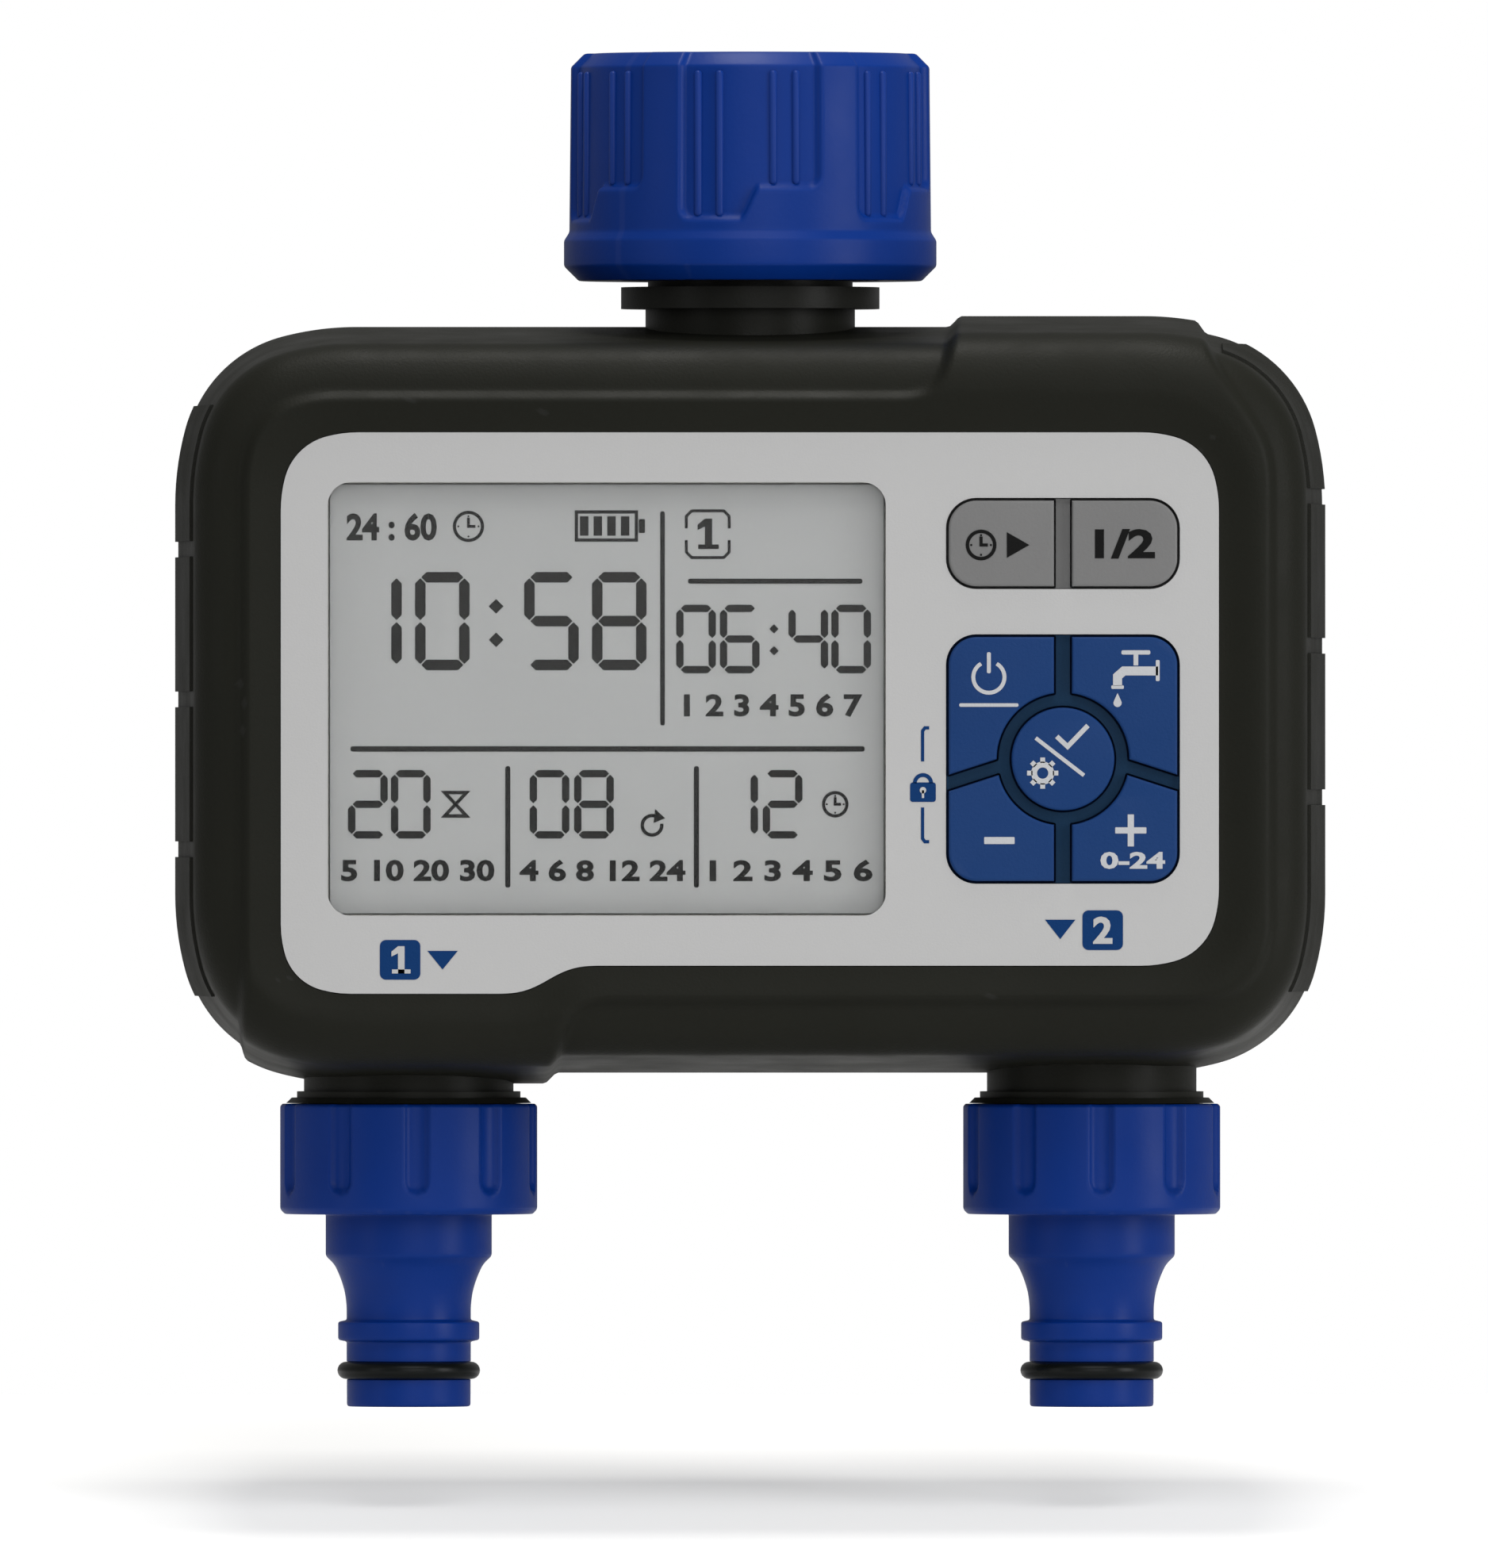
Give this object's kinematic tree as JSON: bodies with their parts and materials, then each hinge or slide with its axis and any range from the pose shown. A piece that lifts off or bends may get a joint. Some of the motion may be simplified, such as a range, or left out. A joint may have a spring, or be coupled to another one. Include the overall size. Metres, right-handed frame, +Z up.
{
  "type": "drip irrigation timer",
  "caption": "Battery irrigation timer with a tap collar on top, a display and key pad on the front and two hose spigots below",
  "frame": {"origin": "centre of the inlet sealing face, on the tap thread's axis", "axes": "+Z up along the tap thread, the display faces -Y, +X to the right of someone facing the display"},
  "size_m": [0.1482, 0.0695, 0.1743],
  "materials": {
    "housing_plastic": "fine moulded texture",
    "waterway_plastic": "smooth moulded glass-filled plastic",
    "grip_rubber": "soft-touch",
    "panel_print": "satin printed film",
    "clear_window": "clear moulded window",
    "display": "reflective liquid crystal",
    "holder_plastic": "natural moulded",
    "grey_key": "satin silicone",
    "grey_mat": "satin silicone",
    "blue_key": "satin silicone",
    "blue_mat": "satin silicone",
    "blue_plastic": "moulded, light sheen",
    "black_rubber": "nitrile",
    "snap_ring": "acetal",
    "filter_plastic": "fine mesh moulding",
    "board_green": "solder resist",
    "chip_black": "moulded package",
    "screw_steel": "zinc plated",
    "spring_steel": "bright drawn",
    "plunger_steel": "turned",
    "coil_tape": "winding tape",
    "valve_white": "acetal",
    "cell_wrap": "plain wrap",
    "lead_red": "insulated wire"
  },
  "bodies": {
    "housing": {"battery_box": "holder_plastic", "battery_cells": "cell_wrap", "blue_key_mat": "blue_mat", "board_screws": "screw_steel", "bonnet_screws": "screw_steel", "circuit_board": "board_green", "collar_ring": "snap_ring", "contact_plates": "spring_steel", "contact_springs": "spring_steel", "control_chips": "chip_black", "diaphragm_left": "black_rubber", "diaphragm_right": "black_rubber", "disc_spring_left": "spring_steel", "disc_spring_right": "spring_steel", "display_window": "clear_window", "door_seal": "black_rubber", "face_panel": "panel_print", "filter_screen": "filter_plastic", "front_shell": "housing_plastic", "grey_key_mat": "grey_mat", "hinge_pins": "screw_steel", "housing_screws": "screw_steel", "inlet_washer": "black_rubber", "lcd_glass": "display", "lcd_holder": "holder_plastic", "leads": "lead_red", "neck_seals": "black_rubber", "plunger_spring_left": "spring_steel", "plunger_spring_right": "spring_steel", "rear_shell": "housing_plastic", "shell_gasket": "black_rubber", "side_grip_left": "grip_rubber", "side_grip_right": "grip_rubber", "solenoid_coil_left": "coil_tape", "solenoid_coil_right": "coil_tape", "solenoid_yokes": "plunger_steel", "tact_switches": "chip_black", "valve_body": "waterway_plastic", "valve_bonnet_left": "holder_plastic", "valve_bonnet_right": "holder_plastic"},
    "collar": {"inlet_collar": "blue_plastic"},
    "adaptor_left": {"outlet_adaptor_left": "blue_plastic", "spigot_o_ring_left": "black_rubber", "adaptor_washer_left": "black_rubber"},
    "plunger_left": {"solenoid_plunger_left": "plunger_steel"},
    "disc_left": {"valve_disc_left": "valve_white"},
    "adaptor_right": {"outlet_adaptor_right": "blue_plastic", "spigot_o_ring_right": "black_rubber", "adaptor_washer_right": "black_rubber"},
    "plunger_right": {"solenoid_plunger_right": "plunger_steel"},
    "disc_right": {"valve_disc_right": "valve_white"},
    "key_outlet_one_cap": {"key_outlet_one": "grey_key"},
    "key_outlet_two_cap": {"key_outlet_two": "grey_key"},
    "key_back_cap": {"key_back": "blue_key"},
    "key_manual_cap": {"key_manual": "blue_key"},
    "key_minus_cap": {"key_minus": "blue_key"},
    "key_plus_cap": {"key_plus": "blue_key"},
    "key_set_cap": {"key_set": "blue_key"},
    "door": {"battery_door": "housing_plastic"},
    "latch": {"door_latch": "housing_plastic"}
  },
  "joints": [
    {"name": "collar_swivel", "type": "hinge", "parent": "housing", "child": "collar", "pos_m": [0, 0, 0], "axis": [0, 0, 1], "continuous": true},
    {"name": "adaptor_turn_left", "type": "hinge", "parent": "housing", "child": "adaptor_left", "pos_m": [-0.044, 0, -0.123], "axis": [0, 0, -1], "range_deg": [0, 360]},
    {"name": "plunger_lift_left", "type": "slide", "parent": "housing", "child": "plunger_left", "axis": [0, 0, 1], "range_m": [0, 0.002], "stiffness_N_per_m": 300, "springref_m": -0.003, "deforming": ["plunger_spring_left"]},
    {"name": "disc_lift_left", "type": "slide", "parent": "housing", "child": "disc_left", "axis": [0, 0, 1], "range_m": [0, 0.0025], "stiffness_N_per_m": 250, "springref_m": -0.003, "deforming": ["disc_spring_left"]},
    {"name": "adaptor_turn_right", "type": "hinge", "parent": "housing", "child": "adaptor_right", "pos_m": [0.044, 0, -0.123], "axis": [0, 0, -1], "range_deg": [0, 360]},
    {"name": "plunger_lift_right", "type": "slide", "parent": "housing", "child": "plunger_right", "axis": [0, 0, 1], "range_m": [0, 0.002], "stiffness_N_per_m": 300, "springref_m": -0.003, "deforming": ["plunger_spring_right"]},
    {"name": "disc_lift_right", "type": "slide", "parent": "housing", "child": "disc_right", "axis": [0, 0, 1], "range_m": [0, 0.0025], "stiffness_N_per_m": 250, "springref_m": -0.003, "deforming": ["disc_spring_right"]},
    {"name": "key_outlet_one_press", "type": "slide", "parent": "housing", "child": "key_outlet_one_cap", "axis": [0, 1, 0], "range_m": [0, 0.0008], "stiffness_N_per_m": 900, "springref_m": -0.0003},
    {"name": "key_outlet_two_press", "type": "slide", "parent": "housing", "child": "key_outlet_two_cap", "axis": [0, 1, 0], "range_m": [0, 0.0008], "stiffness_N_per_m": 900, "springref_m": -0.0003},
    {"name": "key_back_press", "type": "slide", "parent": "housing", "child": "key_back_cap", "axis": [0, 1, 0], "range_m": [0, 0.0008], "stiffness_N_per_m": 900, "springref_m": -0.0003},
    {"name": "key_manual_press", "type": "slide", "parent": "housing", "child": "key_manual_cap", "axis": [0, 1, 0], "range_m": [0, 0.0008], "stiffness_N_per_m": 900, "springref_m": -0.0003},
    {"name": "key_minus_press", "type": "slide", "parent": "housing", "child": "key_minus_cap", "axis": [0, 1, 0], "range_m": [0, 0.0008], "stiffness_N_per_m": 900, "springref_m": -0.0003},
    {"name": "key_plus_press", "type": "slide", "parent": "housing", "child": "key_plus_cap", "axis": [0, 1, 0], "range_m": [0, 0.0008], "stiffness_N_per_m": 900, "springref_m": -0.0003},
    {"name": "key_set_press", "type": "slide", "parent": "housing", "child": "key_set_cap", "axis": [0, 1, 0], "range_m": [0, 0.0008], "stiffness_N_per_m": 900, "springref_m": -0.0003},
    {"name": "door_hinge", "type": "hinge", "parent": "housing", "child": "door", "pos_m": [0, 0.0337, -0.0972], "axis": [-1, 0, 0], "range_deg": [0, 105]},
    {"name": "latch_slide", "type": "slide", "parent": "door", "child": "latch", "axis": [0, 0, -1], "range_m": [0, 0.003]}
  ]
}
